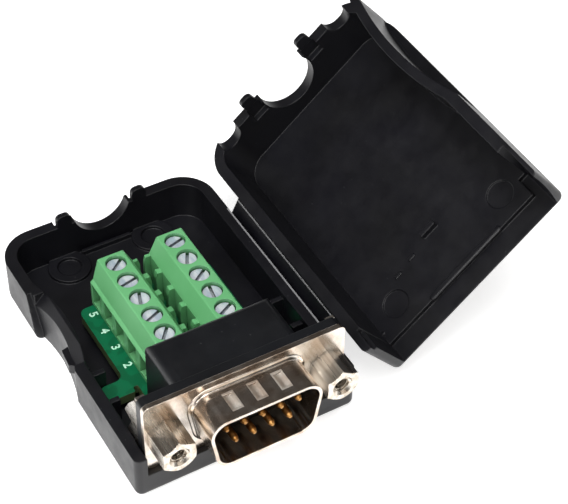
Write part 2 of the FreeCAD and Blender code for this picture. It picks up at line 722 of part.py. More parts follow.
# Circuit board
rear = face + size("board_rear")
main_x = size("board_half")
wing_x = size("wing_half")
wing_a = face + size("wing_front")
wing_b = face + size("wing_rear")
tongue_x = size("tongue_half")
right_edge = [
    (tongue_x, face + size("board_front"), 0.5),
    (tongue_x, wing_a + 0.9, 0.3),
    (tongue_x + 0.75, wing_a + 0.9, 0.3),
    (tongue_x + 0.75, wing_a, 0.3),
    (wing_x, wing_a, 1.2),
    (wing_x, wing_b, 0.9),
    (main_x, wing_b, 1.3),
    (main_x, rear, 1.2),
]
left_edge = [(-x, y, r) for x, y, r in reversed(right_edge)]
board = prism("board_body", "XY_Plane", right_edge + left_edge, board_low, "board_thick")
board_holes = []
for index, (step, level) in enumerate(rows, 1):
    bend = "bend_high" if level > 0 else "bend_low"
    board_holes.append(rod("pin_hole_%d" % index, "Z", "%d * pin_pitch / 2" % step, "face_y + " + bend,
                           board_low + " - 1", "tail_square * 0.71 + hole_gap / 2", "board_thick + 2"))
leg_x = "(leg_outer + leg_inner) / 2"
for side, tag in ((-1, "left"), (1, "right")):
    for pole in range(5):
        board_holes.append(rod("leg_hole_%s_%d" % (tag, pole + 1), "Z", "%d * %s" % (side, leg_x),
                               "face_y + first_pole - %d * pole_pitch" % pole, board_low + " - 1",
                               "tail_square * 0.71 + hole_gap / 2", "board_thick + 2"))
finish("circuit_board", cut("board_solid", board, board_holes))

# Terminal blocks. Heights are above the board, distances across are from the middle plane.
deck = "(axis_z + board_top)"
deck_z = axis_z + size("board_top")
block_top = size("block_high")
profile = [
    (8.21, 0.0, 0),
    (8.21, 4.4, 0.15),
    (7.76, 4.8, 0.15),
    (6.8, block_top, 0.25),
    (2.74, block_top, 0.25),
    (1.36, block_top - 2.8, 0.15),
    (0.63, block_top - 2.74, 0.15),
    (0.36, block_top - 3.81, 0.15),
    (0.36, 0.0, 0),
]
slot_turn = {"left": (38, 12, 70, 22, 50), "right": (15, 62, 35, 80, 28)}
for side, tag in ((-1, "left"), (1, "right")):
    points = [(side * x, deck_z + z, r) for x, z, r in (profile if side > 0 else reversed(profile))]
    block = prism("block_body_" + tag, "XZ_Plane", points, "face_y + block_front", "block_rear - block_front")
    holes = []
    contacts = []
    screw_x = "%d * screw_x" % side
    for pole in range(5):
        number = pole + 1
        key = "%s_%d" % (tag, number)
        pole_y = "face_y + first_pole - %d * pole_pitch" % pole
        holes.append(rod("well_" + key, "Z", screw_x, pole_y, deck + " + head_low - 0.02", "well_radius",
                         "block_high"))
        holes.append(rod("shank_way_" + key, "Z", screw_x, pole_y, deck + " + chamber_low",
                         "shank_radius + shank_gap", "head_low - chamber_low"))
        holes.append(side_box("chamber_" + key, side, "chamber_inner", "chamber_outer",
                              pole_y + " - chamber_half", deck + " + chamber_low", "2 * chamber_half",
                              "chamber_high - chamber_low"))
        holes.append(side_box("entry_" + key, side, "chamber_outer - 0.1", "8.6", pole_y + " - entry_half",
                              deck + " + entry_low", "2 * entry_half", "entry_high - entry_low"))
        holes.append(side_box("leg_way_" + key, side, "leg_inner - 0.25", "leg_outer + 0.25",
                              pole_y + " - bar_half - 0.06", deck + " - 1", "2 * bar_half + 0.12",
                              "chamber_low + 1.1"))
        holes.append(side_box("back_slot_" + key, side, "0", "1.36", pole_y + " - pole_pitch / 2 + fin_half",
                              deck + " - 1", "pole_pitch - 2 * fin_half", "block_high"))
        bar = side_box("bar_" + key, side, "leg_inner", "cage_outer - 0.2", pole_y + " - bar_half",
                       deck + " + bar_low", "2 * bar_half", "bar_high - bar_low")
        leg = side_box("leg_" + key, side, "leg_inner", "leg_outer", pole_y + " - bar_half", deck + " + 0.02",
                       "2 * bar_half", "bar_high - 0.02")
        solder = side_box("solder_" + key, side, leg_x + " - tail_square / 2", leg_x + " + tail_square / 2",
                          pole_y + " - tail_square / 2", board_low + " - tail_below", "tail_square",
                          "board_thick + tail_below + 0.3")
        contacts.append(fuse("contact_" + key, [bar, leg, solder]))

        cage_block = side_box("cage_block_" + key, side, "cage_inner", "cage_outer", pole_y + " - cage_half",
                              deck + " + cage_low", "2 * cage_half", "cage_high - cage_low")
        window = side_box("cage_window_" + key, side, "cage_inner - 0.5", "cage_outer + 0.5",
                          pole_y + " - cage_half + cage_wall", deck + " + cage_low + cage_foot",
                          "2 * (cage_half - cage_wall)", "cage_high - cage_low - cage_foot - cage_head")
        thread = rod("cage_thread_" + key, "Z", screw_x, pole_y, deck + " + cage_high - cage_head - 0.5",
                     "shank_radius + 0.03", "cage_head + 1")
        finish("%s_clamp_cage_%d" % (tag, number), cut("cage_" + key, cage_block, [window, thread]))

        shank = rod("shank_" + key, "Z", screw_x, pole_y, deck + " + shank_low", "shank_radius",
                    "head_low - shank_low + 0.2")
        head = rod("head_" + key, "Z", screw_x, pole_y, deck + " + head_low", "head_radius", "head_thick")
        drive = doc.addObject("Part::Box", "drive_" + key)
        drive.setExpression("Length", bound("2 * head_radius + 1"))
        drive.setExpression("Width", bound("slot_wide"))
        drive.setExpression("Height", bound("slot_deep + 0.5"))
        turn = math.radians(slot_turn[tag][pole])
        drive.Placement = FreeCAD.Placement(FreeCAD.Vector(),
                                            FreeCAD.Rotation(FreeCAD.Vector(0, 0, 1), math.degrees(turn)))
        shift_x = "(head_radius + 0.5) * %.6f - slot_wide / 2 * %.6f" % (math.cos(turn), math.sin(turn))
        shift_y = "(head_radius + 0.5) * %.6f + slot_wide / 2 * %.6f" % (math.sin(turn), math.cos(turn))
        place(drive, "%s - (%s)" % (screw_x, shift_x), "%s - (%s)" % (pole_y, shift_y),
              deck + " + head_low + head_thick - slot_deep")
        screw = cut("screw_" + key, fuse("screw_full_" + key, [head, shank]), [drive])
        finish("%s_clamp_screw_%d" % (tag, number), screw)
    finish(tag + "_terminal_housing", cut("block_" + tag, block, holes))
    contact_set = doc.addObject("Part::Compound", "contact_set_" + tag)
    contact_set.Links = contacts
    finish(tag + "_terminal_contacts", contact_set)

doc.recompute()

for obj in doc.Objects:
    bad = [state for state in obj.State if state in ("Invalid", "Error")]
    if bad:
        raise RuntimeError("%s is %s" % (obj.Name, bad))
os.makedirs("parts", exist_ok=True)
for name, obj in nodes:
    shape = obj.Shape
    if shape.isNull() or not shape.isValid():
        raise RuntimeError("%s has no valid shape" % name)
    solids = len(shape.Solids)
    print("%-24s solids %d volume %8.2f box %s" % (name, solids, shape.Volume, shape.BoundBox))
for name, obj in nodes:
    obj.Shape.exportStep("parts/%s.step" % name)
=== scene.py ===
# %% [markdown]
# # D-sub breakout in an open hinged case
#
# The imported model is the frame: every length is in metres, Z is up from the table, and -Y is the
# side where the plug's pins point. This notebook loads it, gives each surface a worked material,
# adds the fine pieces that are too small for the solids, and sets the light and the camera.

# %% Load the frame
import json
import math

import bmesh
import bpy
from mathutils import Matrix, Vector


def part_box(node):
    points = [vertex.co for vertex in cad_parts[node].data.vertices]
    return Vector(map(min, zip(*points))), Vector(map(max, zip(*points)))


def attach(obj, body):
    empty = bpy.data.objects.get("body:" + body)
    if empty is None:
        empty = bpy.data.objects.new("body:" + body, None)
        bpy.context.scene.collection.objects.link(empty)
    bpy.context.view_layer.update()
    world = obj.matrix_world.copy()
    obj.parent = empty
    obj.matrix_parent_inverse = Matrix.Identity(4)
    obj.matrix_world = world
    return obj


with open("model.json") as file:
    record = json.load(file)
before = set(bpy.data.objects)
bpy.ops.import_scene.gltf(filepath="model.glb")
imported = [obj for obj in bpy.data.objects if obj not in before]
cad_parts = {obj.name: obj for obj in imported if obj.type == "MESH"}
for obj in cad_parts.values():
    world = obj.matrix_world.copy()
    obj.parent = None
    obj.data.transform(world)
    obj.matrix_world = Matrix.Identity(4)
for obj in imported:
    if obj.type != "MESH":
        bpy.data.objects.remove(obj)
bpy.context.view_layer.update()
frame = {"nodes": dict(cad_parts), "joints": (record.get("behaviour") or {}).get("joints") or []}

MM = 0.001
nodes = frame["nodes"]

# %% [markdown]
# ## Measures that the pieces share
#
# Everything added here sits on a solid of the frame, so its place is read from that solid's box
# instead of being typed again. The plug's shell reaches back to the flange's rear face, so the
# front face lies one thickness of the flange before it. The board gives its own top, and the
# plug's axis is halfway up the shell.

# %% Shared measures
FLANGE_THICK = 0.8
shell_low, shell_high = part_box("dsub_front_shell")
FACE_Y = shell_high[1] / MM - FLANGE_THICK
AXIS_Z = (shell_low[2] + shell_high[2]) / 2 / MM
DECK_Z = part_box("circuit_board")[1][2] / MM
print("flange front y %.2f, plug axis z %.2f, board top z %.2f mm" % (FACE_Y, AXIS_Z, DECK_Z))

# %% [markdown]
# ## One helper for every node
#
# A material is a small graph. One function adds a node, applies its settings (a colour ramp's
# stops among them) and fills its inputs with values or with other nodes, so each material below
# reads as a recipe. Colours are the sRGB hex values seen in print, turned to linear light.

# %% Node and colour helpers
def linear(hex_colour):
    """Linear RGBA of an sRGB hex colour."""
    values = [int(hex_colour[i:i + 2], 16) / 255 for i in (1, 3, 5)]
    return [v / 12.92 if v <= 0.04045 else ((v + 0.055) / 1.055) ** 2.4 for v in values] + [1.0]


def add(tree, kind, settings=None, **inputs):
    """Node of that kind; an input named _3 is the fourth, and other names use _ for a space."""
    node = tree.nodes.new(kind)
    for key, value in (settings or {}).items():
        if key == "stops":
            points = node.color_ramp.elements
            while len(points) < len(value):
                points.new(0.5)
            for point, (place, colour) in zip(points, value):
                point.position = place
                point.color = colour
        else:
            setattr(node, key, value)
    for key, value in inputs.items():
        socket = node.inputs[int(key[1:])] if key[1:].isdigit() else node.inputs[key.replace("_", " ")]
        if isinstance(value, bpy.types.Node):
            value = value.outputs[0]
        if isinstance(value, bpy.types.NodeSocket):
            tree.links.new(value, socket)
        else:
            socket.default_value = value
    return node


def new_material(name):
    """Material with one Principled shader joined to its output."""
    mat = bpy.data.materials.new(name)
    mat.use_nodes = True
    tree = mat.node_tree
    tree.nodes.clear()
    shader = add(tree, "ShaderNodeBsdfPrincipled")
    add(tree, "ShaderNodeOutputMaterial", Surface=shader)
    return mat, tree, shader


def shader_of(mat):
    """The material's Principled shader."""
    return next(node for node in mat.node_tree.nodes if node.type == "BSDF_PRINCIPLED")


def per_mm(size_mm):
    """Texture scale, in cycles per metre, of a pattern whose cells are size_mm across."""
    return 1000.0 / size_mm


BEVEL_RAYS = 6
HOLLOW_RAYS = 5
print("near black is", [round(v, 4) for v in linear("#141416")])

# %% [markdown]
# ## Moulded plastics
#
# The case is one polypropylene moulding with a fine spark-eroded grain, the plug's insulator is a
# smoother glass-filled polyester, and the terminal blocks are leaf-green polyamide. All three are
# dielectrics near IOR 1.5 with a satin gloss. The grain is 0.3 to 0.5 mm, a broader swell of some
# 7 mm stands for the slight sinking of a moulded wall, and the corners catch light on a radius
# that a mould always leaves. Dust shows on black, so a sparse cell pattern drops pale specks
# about 0.15 mm wide, a little coarser than real dust so that it shows at this size. The green
# blocks are clean.

# %% Plastics
def plastic(name, dark, light, rough, grain_mm, relief_mm, corner_mm, dust=0.0, specular=0.5):
    """Moulded plastic: cloudy colour, smeared gloss, fine grain, softened corners and dust."""
    mat, tree, shader = new_material(name)
    place = add(tree, "ShaderNodeTexCoord").outputs["Object"]
    cloud = add(tree, "ShaderNodeTexNoise", Vector=place, Scale=per_mm(9.0), Detail=3.0)
    tint = add(tree, "ShaderNodeValToRGB", {"stops": [(0.3, linear(dark)), (0.7, linear(light))]},
               Fac=cloud)
    cells = add(tree, "ShaderNodeTexVoronoi", Vector=place, Scale=per_mm(1.7))
    speck = add(tree, "ShaderNodeMapRange", Value=cells, From_Min=0.02, From_Max=0.045,
                To_Min=dust, To_Max=0.0)
    dusty = add(tree, "ShaderNodeMix", {"data_type": "RGBA"}, _0=speck, _6=tint, _7=linear("#94969a"))
    tree.links.new(dusty.outputs[2], shader.inputs["Base Color"])
    smear = add(tree, "ShaderNodeTexNoise", Vector=place, Scale=per_mm(4.0), Detail=5.0, Roughness=0.62)
    gloss = add(tree, "ShaderNodeMapRange", Value=smear, From_Min=0.3, From_Max=0.7,
                To_Min=rough[0], To_Max=rough[1])
    tree.links.new(gloss.outputs[0], shader.inputs["Roughness"])
    fine = add(tree, "ShaderNodeTexNoise", Vector=place, Scale=per_mm(grain_mm), Detail=3.0)
    swell = add(tree, "ShaderNodeTexNoise", Vector=place, Scale=per_mm(7.0), Detail=1.0)
    height = add(tree, "ShaderNodeMath", {"operation": "MULTIPLY_ADD"}, _0=swell, _1=6.0, _2=fine)
    corner = add(tree, "ShaderNodeBevel", {"samples": BEVEL_RAYS}, Radius=corner_mm * MM)
    relief = add(tree, "ShaderNodeBump", Height=height, Distance=relief_mm * MM, Strength=1.0,
                 Normal=corner)
    tree.links.new(relief.outputs[0], shader.inputs["Normal"])
    shader.inputs["Specular IOR Level"].default_value = specular
    return mat


case_black = plastic("moulded_polypropylene_black", "#0a0a0e", "#101016", rough=(0.34, 0.48),
                     grain_mm=0.32, relief_mm=0.004, corner_mm=0.24, dust=0.25, specular=0.45)
insulator_black = plastic("moulded_polyester_black", "#0e0f12", "#14161a", rough=(0.30, 0.42),
                          grain_mm=0.5, relief_mm=0.003, corner_mm=0.25, dust=0.45)
block_green = plastic("moulded_polyamide_green", "#66b074", "#72ba80", rough=(0.34, 0.46),
                      grain_mm=0.5, relief_mm=0.002, corner_mm=0.1)
print("plastics:", case_black.name, insulator_black.name, block_green.name)

# %% [markdown]
# ## Painted highlight lines beside the film hinges
#
# Pale lines are painted along the hinge strip's edge and along the base's rim beside it. They are painted
# highlights, standing for the light that the rounded moulded edges there catch. The lines run along Y, so
# the distance from a line is measured with the coordinate's Y set to nothing, and the strip's box says where
# the lines start and stop. The upper hinge axis of the frame gives the strip's line, and the base's rim
# gives the other.

# %% Painted highlight lines on the case's plastic
joints = {joint["name"]: joint for joint in frame["joints"]}
lower_film = Vector(joints["strip_fold"]["pos_m"])
upper_film = Vector(joints["cover_fold"]["pos_m"])
strip_low, strip_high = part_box("hinge_strip")
WALL_X = -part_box("base_shell")[0][0]
RIM_Z = 7.7 * MM
HIGHLIGHT_HALF_WIDTH = 0.2 * MM
HIGHLIGHT_FADE = 1.6


def with_painted_highlight_lines(name, lines):
    """The case's plastic with a painted highlight, a pale line, through each (x, z), as long as the hinge
    strip.
    """
    mat = case_black.copy()
    mat.name = name
    tree = mat.node_tree
    shader = shader_of(mat)
    plain = shader.inputs["Base Color"].links[0].from_socket
    place = add(tree, "ShaderNodeTexCoord").outputs["Object"]
    across = add(tree, "ShaderNodeMapping", Vector=place, Scale=(1, 0, 1))
    along = add(tree, "ShaderNodeSeparateXYZ", Vector=place)
    middle = (strip_low[1] + strip_high[1]) / 2
    aside = add(tree, "ShaderNodeMath", {"operation": "SUBTRACT"}, _0=along.outputs["Y"], _1=middle)
    apart = add(tree, "ShaderNodeMath", {"operation": "ABSOLUTE"}, _0=aside)
    pale = add(tree, "ShaderNodeMath", {"operation": "LESS_THAN"}, _0=apart, _1=strip_high[1] - middle)
    nearest = None
    for x, z in lines:
        distance = add(tree, "ShaderNodeVectorMath", {"operation": "DISTANCE"}, _0=across, _1=(x, 0, z))
        away = distance.outputs["Value"]
        if nearest:
            away = add(tree, "ShaderNodeMath", {"operation": "MINIMUM"}, _0=nearest, _1=away).outputs[0]
        nearest = away
    line = add(tree, "ShaderNodeMapRange", Value=nearest, From_Min=HIGHLIGHT_HALF_WIDTH, From_Max=HIGHLIGHT_HALF_WIDTH * HIGHLIGHT_FADE,
               To_Min=0.9, To_Max=0.0)
    share = add(tree, "ShaderNodeMath", {"operation": "MULTIPLY"}, _0=line, _1=pale)
    # Painted highlight: the pale grey is mixed into the colour along each line.
    mixed = add(tree, "ShaderNodeMix", {"data_type": "RGBA"}, _0=share, _6=plain, _7=linear("#9a9a9c"))
    tree.links.new(mixed.outputs[2], shader.inputs["Base Color"])
    return mat


strip_black = with_painted_highlight_lines("polypropylene_black_painted_hinge_highlight", [(upper_film.x, upper_film.z)])
base_black = with_painted_highlight_lines("polypropylene_black_painted_rim_highlight", [(WALL_X, RIM_Z)])
print("hinge films %.2f mm apart" % ((upper_film - lower_film).length / MM))

# %% [markdown]
# ## Metals
#
# The plug's shell is deep-drawn steel with a bright nickel plate: a slightly warm mirror whose surface rolls
# some tens of microns over 2 to 3 mm, which breaks reflections into patches. Its colour is also mottled
# between warm brown-grey and pale. Part of that mottle is the plate's own uneven tone, and part is a painted
# reflection of warm brown surroundings. The screwlocks are turned from hexagon bar, so their gloss runs in
# lines along the bar. The pins are gold plated and the cages tin plated. A metal's colour sits in its base
# colour, so metallic is one and the IOR stays as it is. The clamp screws are the exception: a bluish, milky
# film covers their zinc, and metallic is about a half.
#
# The dimples pressed into the shroud show as pale patches, so their metal is rougher than the drawn sheet
# round them. Deep in the plug, between the blocks' ribs and in the screws' slots the surfaces look nearly
# black in their shade, so there the colour is darkened where little of the space is free. This is painted
# shade, laid into the colour on top of the shade that the lamps cast.

# %% Plated metal
def metal(name, dark, light, patch_mm, rough, roll_mm, roll_um, corner_mm, stretch=(1, 1, 1), metallic=1.0):
    """Plated metal: patchy tint, smeared gloss, rolling surface and eased corners."""
    mat, tree, shader = new_material(name)
    shader.inputs["Metallic"].default_value = metallic
    coords = add(tree, "ShaderNodeTexCoord").outputs["Object"]
    place = add(tree, "ShaderNodeMapping", Vector=coords, Scale=stretch)
    patch = add(tree, "ShaderNodeTexNoise", Vector=place, Scale=per_mm(patch_mm), Detail=4.0)
    tint = add(tree, "ShaderNodeValToRGB", {"stops": [(0.36, linear(dark)), (0.62, linear(light))]},
               Fac=patch)
    tree.links.new(tint.outputs[0], shader.inputs["Base Color"])
    smear = add(tree, "ShaderNodeTexNoise", Vector=place, Scale=per_mm(1.1), Detail=5.0, Roughness=0.7)
    gloss = add(tree, "ShaderNodeMapRange", Value=smear, From_Min=0.3, From_Max=0.7,
                To_Min=rough[0], To_Max=rough[1])
    tree.links.new(gloss.outputs[0], shader.inputs["Roughness"])
    roll = add(tree, "ShaderNodeTexNoise", Vector=place, Scale=per_mm(roll_mm), Detail=2.0)
    corner = add(tree, "ShaderNodeBevel", {"samples": BEVEL_RAYS}, Radius=corner_mm * MM)
    relief = add(tree, "ShaderNodeBump", Height=roll, Distance=roll_um * 1e-6, Strength=1.0, Normal=corner)
    tree.links.new(relief.outputs[0], shader.inputs["Normal"])
    return mat


print("rolls of 2.6 mm make %.0f cycles per metre" % per_mm(2.6))

# %% Pressed places and painted shade in hollows
def roughen(mat, centres, size, rough):
    """Rougher boxes of that size round each centre, where a press has worked the metal."""
    tree = mat.node_tree
    shader = shader_of(mat)
    value = shader.inputs["Roughness"].links[0].from_socket
    spot = add(tree, "ShaderNodeSeparateXYZ", Vector=add(tree, "ShaderNodeTexCoord").outputs["Object"])
    for centre in centres:
        within = 1.0
        for axis, middle, whole in zip("XYZ", centre, size):
            away = add(tree, "ShaderNodeMath", {"operation": "SUBTRACT"},
                       _0=spot.outputs[axis], _1=middle * MM)
            apart = add(tree, "ShaderNodeMath", {"operation": "ABSOLUTE"}, _0=away)
            near = add(tree, "ShaderNodeMath", {"operation": "LESS_THAN"}, _0=apart, _1=whole / 2 * MM)
            within = add(tree, "ShaderNodeMath", {"operation": "MULTIPLY"}, _0=within, _1=near)
        value = add(tree, "ShaderNodeMix", _0=within, _2=value, _3=rough).outputs[0]
    tree.links.new(value, shader.inputs["Roughness"])


def paint_hollow_shade(mat, reach_mm, least):
    """Painted shade: darker surface colour where walls stand close round it, as in the plug's cavity, down
    to that share.
    """
    tree = mat.node_tree
    shader = shader_of(mat)
    colour = shader.inputs["Base Color"].links[0].from_socket
    free = add(tree, "ShaderNodeAmbientOcclusion", {"samples": HOLLOW_RAYS}, Distance=reach_mm * MM)
    share = add(tree, "ShaderNodeMapRange", Value=free.outputs["AO"], From_Min=0.2, From_Max=0.7,
                To_Min=least, To_Max=1.0)
    dimmed = add(tree, "ShaderNodeVectorMath", {"operation": "SCALE"}, _0=colour, _3=share)
    tree.links.new(dimmed.outputs[0], shader.inputs["Base Color"])


print("hollows are felt with", HOLLOW_RAYS, "rays")

# %% Metals of the plug, the screws and the cages
ALONG_BAR = (1, 0.03, 1)
ALONG_SLOT = (1, 0.25, 1)
DIMPLE_SIZE = (1.7, 3.3, 2.4)
DIMPLE_X = (-3.7, 0, 3.7)
DIMPLE_AHEAD = 2.9
DIMPLE_RISE = 4.2
dimples = [(x, FACE_Y - DIMPLE_AHEAD, AXIS_Z + DIMPLE_RISE) for x in DIMPLE_X]

# Painted reflection, in part: the shell's mottle between warm brown-grey and pale stands partly for the
# plate's own tone and partly for warm brown surroundings mirrored in it.
shell_nickel = metal("drawn_steel_nickel_plated", "#cbb9a8", "#eee6dc", patch_mm=3.2, rough=(0.15, 0.25),
                     roll_mm=2.6, roll_um=30, corner_mm=0.14)
bracket_nickel = metal("stamped_steel_nickel_plated", "#b5ada2", "#d6d1c9", patch_mm=2.0,
                       rough=(0.22, 0.36), roll_mm=1.5, roll_um=10, corner_mm=0.08)
lock_nickel = metal("turned_brass_nickel_plated", "#c2b5a4", "#ece5da", patch_mm=0.9, rough=(0.22, 0.34),
                    roll_mm=0.35, roll_um=6, corner_mm=0.14, stretch=ALONG_BAR)
screw_zinc = metal("steel_zinc_plated_blue", "#c8d6e4", "#f2f7fd", patch_mm=0.8, rough=(0.44, 0.60),
                   roll_mm=0.5, roll_um=6, corner_mm=0.07, stretch=ALONG_SLOT, metallic=0.55)
pin_gold = metal("brass_gold_plated", "#84592a", "#b58850", patch_mm=1.0, rough=(0.26, 0.40),
                 roll_mm=0.6, roll_um=3, corner_mm=0.08)
cage_tin = metal("brass_tin_plated", "#9fa2a2", "#c8caca", patch_mm=1.2, rough=(0.28, 0.45),
                 roll_mm=0.8, roll_um=5, corner_mm=0.06)
roughen(shell_nickel, dimples, DIMPLE_SIZE, rough=0.5)
# Painted shade: the colour is darkened in the plug's cavity, the screwlocks' bores, between the blocks'
# ribs, in the screws' slots and round the pins.
paint_hollow_shade(shell_nickel, reach_mm=4.0, least=0.12)
paint_hollow_shade(lock_nickel, reach_mm=1.5, least=0.25)
paint_hollow_shade(block_green, reach_mm=2.6, least=0.2)
paint_hollow_shade(screw_zinc, reach_mm=1.0, least=0.12)
paint_hollow_shade(pin_gold, reach_mm=3.0, least=0.06)
print("metals:", shell_nickel.name, lock_nickel.name, screw_zinc.name, pin_gold.name, cage_tin.name)

# %% [markdown]
# ## Circuit board
#
# The board is glass-epoxy under a green solder mask. The mask lies over copper areas that show as a slightly
# lighter green in low relief, with cells of about 2.2 mm. The cut edge has no mask, so faces whose
# object-space normal lies flat take a dull, dark brown-green. That colour is partly the bare laminate's own
# and partly painted shade for the shade that lies along the edge.

# %% Board and print
def masked_board():
    """Green solder mask over copper areas, and on the cut edge a dark brown-green that is partly bare
    laminate and partly painted shade.
    """
    mat, tree, shader = new_material("epoxy_board_green_mask")
    coords = add(tree, "ShaderNodeTexCoord")
    place = add(tree, "ShaderNodeMapping", Vector=coords.outputs["Object"], Scale=(1, 1, 0.01))
    copper = add(tree, "ShaderNodeTexNoise", Vector=place, Scale=per_mm(2.2), Detail=1.0)
    mask = add(tree, "ShaderNodeValToRGB",
               {"stops": [(0.48, linear("#045c39")), (0.52, linear("#056842"))]}, Fac=copper)
    facing = add(tree, "ShaderNodeSeparateXYZ", Vector=coords.outputs["Normal"])
    upright = add(tree, "ShaderNodeMath", {"operation": "ABSOLUTE"}, _0=facing.outputs["Z"])
    flat = add(tree, "ShaderNodeMath", {"operation": "LESS_THAN"}, _0=upright, _1=0.5)
    # Painted shade, in part: the cut edge's colour is the laminate's own, made dark for the shade along the
    # edge.
    colour = add(tree, "ShaderNodeMix", {"data_type": "RGBA"}, _0=flat, _6=mask, _7=linear("#4c5a38"))
    tree.links.new(colour.outputs[2], shader.inputs["Base Color"])
    smear = add(tree, "ShaderNodeTexNoise", Vector=place, Scale=per_mm(1.4), Detail=4.0)
    gloss = add(tree, "ShaderNodeMapRange", Value=smear, From_Min=0.3, From_Max=0.7,
                To_Min=0.30, To_Max=0.42)
    tree.links.new(gloss.outputs[0], shader.inputs["Roughness"])
    corner = add(tree, "ShaderNodeBevel", {"samples": BEVEL_RAYS}, Radius=0.1 * MM)
    relief = add(tree, "ShaderNodeBump", Height=mask, Distance=0.02 * MM, Strength=0.6, Normal=corner)
    tree.links.new(relief.outputs[0], shader.inputs["Normal"])
    return mat


def screen_ink():
    """Screen-printed epoxy ink, faintly green where the mask shows through its thin places."""
    mat, tree, shader = new_material("screen_ink_white")
    place = add(tree, "ShaderNodeTexCoord").outputs["Object"]
    cover = add(tree, "ShaderNodeTexNoise", Vector=place, Scale=per_mm(0.3), Detail=2.0)
    tint = add(tree, "ShaderNodeValToRGB",
               {"stops": [(0.3, linear("#a5ecc6")), (0.6, linear("#d2f7e2"))]}, Fac=cover)
    tree.links.new(tint.outputs[0], shader.inputs["Base Color"])
    relief = add(tree, "ShaderNodeBump", Height=cover, Distance=0.004 * MM)
    tree.links.new(relief.outputs[0], shader.inputs["Normal"])
    shader.inputs["Roughness"].default_value = 0.55
    return mat


board_green = masked_board()
number_ink = screen_ink()
print("board:", board_green.name, number_ink.name)

# %% [markdown]
# ## Painting the frame's solids
#
# The solids come as loose triangles. Their meshes stay as they are; a Geometry Nodes modifier
# welds them for display, shades them smooth and marks each edge sharper than the limit, and a
# weighted normal keeps large flats flat beside small fillets.

# %% Finish of every node
finishes = {
    "base_shell": base_black, "cover_shell": case_black, "hinge_strip": strip_black,
    "dsub_front_shell": shell_nickel, "connector_insulator": insulator_black, "contact_pins": pin_gold,
    "left_bracket": bracket_nickel, "right_bracket": bracket_nickel,
    "left_screwlock": lock_nickel, "right_screwlock": lock_nickel, "circuit_board": board_green,
    "left_terminal_housing": block_green, "right_terminal_housing": block_green,
}
for name, node in nodes.items():
    finish = finishes.get(name) or (screw_zinc if "screw" in name else cage_tin)
    if not node.material_slots:
        node.data.materials.append(finish)
    for place in node.material_slots:
        place.material = finish
print("painted", len(nodes), "nodes")

# %% Smooth shading for the loose triangles
def node_group(name, **sizes):
    """Geometry Nodes group with one geometry in and out, and a float input for each size."""
    group = bpy.data.node_groups.new(name, "GeometryNodeTree")
    group.interface.new_socket("Geometry", in_out="INPUT", socket_type="NodeSocketGeometry")
    group.interface.new_socket("Geometry", in_out="OUTPUT", socket_type="NodeSocketGeometry")
    for label, value in sizes.items():
        socket = group.interface.new_socket(label, in_out="INPUT", socket_type="NodeSocketFloat")
        socket.default_value = value
    return group, group.nodes.new("NodeGroupInput"), group.nodes.new("NodeGroupOutput")


def give(obj, group, **values):
    """Puts the group on the object as a modifier and sets its inputs by their identifiers."""
    modifier = obj.modifiers.new(group.name, "NODES")
    modifier.node_group = group
    for item in group.interface.items_tree:
        if item.in_out == "INPUT" and item.name in values:
            modifier[item.identifier] = values[item.name]


WELD = 0.001 * MM
CRISP_ON_SOLIDS = math.radians(38)
shading, start, end = node_group("weld_and_shade", Weld=WELD, Limit=CRISP_ON_SOLIDS)
bare = add(shading, "GeometryNodeRemoveAttribute", Geometry=start.outputs["Geometry"], Name="custom_normal")
weld = add(shading, "GeometryNodeMergeByDistance", Geometry=bare, Distance=start.outputs["Weld"])
soft = add(shading, "GeometryNodeSetShadeSmooth", {"domain": "FACE"}, Geometry=weld, Shade_Smooth=True)
turn = add(shading, "GeometryNodeInputMeshEdgeAngle")
steep = add(shading, "FunctionNodeCompare", {"data_type": "FLOAT", "operation": "GREATER_THAN"},
            _0=turn.outputs[0], _1=start.outputs["Limit"])
crisp = add(shading, "GeometryNodeSetShadeSmooth", {"domain": "EDGE"}, Geometry=soft, Selection=steep,
            Shade_Smooth=False)
shading.links.new(crisp.outputs[0], end.inputs["Geometry"])

for node in nodes.values():
    give(node, shading, Weld=WELD, Limit=CRISP_ON_SOLIDS)
    weighted = node.modifiers.new("flats_first", "WEIGHTED_NORMAL")
    weighted.keep_sharp = True
print("shading on", len(nodes), "nodes")

# %% [markdown]
# ## How a new piece joins the frame
#
# A finished mesh gets its material, smooth shading with crisp edges and a body to ride on. Its object stays
# at the origin; its place is in its mesh.

# %% Piece helper
CRISP_ON_PIECES = math.radians(40)
SAME_SPOT = 0.0005 * MM


def piece(name, mesh, finish, body):
    """New object of that mesh, finished and riding on that body."""
    mesh.name = name
    mesh.materials.clear()
    mesh.materials.append(finish)
    mesh.shade_smooth()
    mesh.set_sharp_from_angle(angle=CRISP_ON_PIECES)
    obj = bpy.data.objects.new(name, mesh)
    bpy.context.scene.collection.objects.link(obj)
    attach(obj, body)
    mesh.calc_loop_triangles()
    print("%s: %d triangles on %s" % (name, len(mesh.loop_triangles), body))


def mesh_of(build):
    """Mesh from a bmesh that build fills, with its doubles merged and its faces outwards."""
    bm = bmesh.new()
    build(bm)
    bmesh.ops.remove_doubles(bm, verts=bm.verts, dist=SAME_SPOT)
    bmesh.ops.recalc_face_normals(bm, faces=bm.faces)
    mesh = bpy.data.meshes.new("draft")
    bm.to_mesh(mesh)
    bm.free()
    return mesh


print("edges stay crisp above %.0f degrees" % math.degrees(CRISP_ON_PIECES))

# %% [markdown]
# ## Drawn radius at the foot of the shroud
#
# The shroud is drawn out of the flange, so the metal turns from one to the other on a radius and
# not at a knife edge. It is a band swept round the shroud's D outline: a rounded trapezoid gives
# each point with its outward direction, and a quarter circle gives the section.

